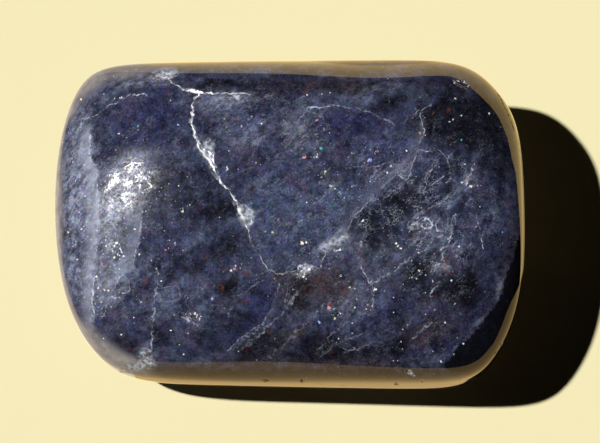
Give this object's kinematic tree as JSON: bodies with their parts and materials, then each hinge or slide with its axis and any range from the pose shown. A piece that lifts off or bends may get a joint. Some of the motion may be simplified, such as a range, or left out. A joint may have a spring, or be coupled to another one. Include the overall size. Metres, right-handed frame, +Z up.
{
  "type": "tumbled iolite stone",
  "caption": "Tumbled and polished iolite stone: a dark blue-violet, slightly leaning pillow with a cracked pale seam, which lies on a flat of its underside.",
  "frame": {"origin": "on the flat of the underside, below the middle of the stone's box", "axes": "+X along the stone, +Y across it towards the seam's broken end, +Z up"},
  "size_m": [0.025, 0.0172, 0.0113],
  "materials": {
    "polished_iolite": "high polish, translucent dark blue-violet"
  },
  "bodies": {
    "root": {"iolite_stone": "polished_iolite"}
  },
  "joints": []
}
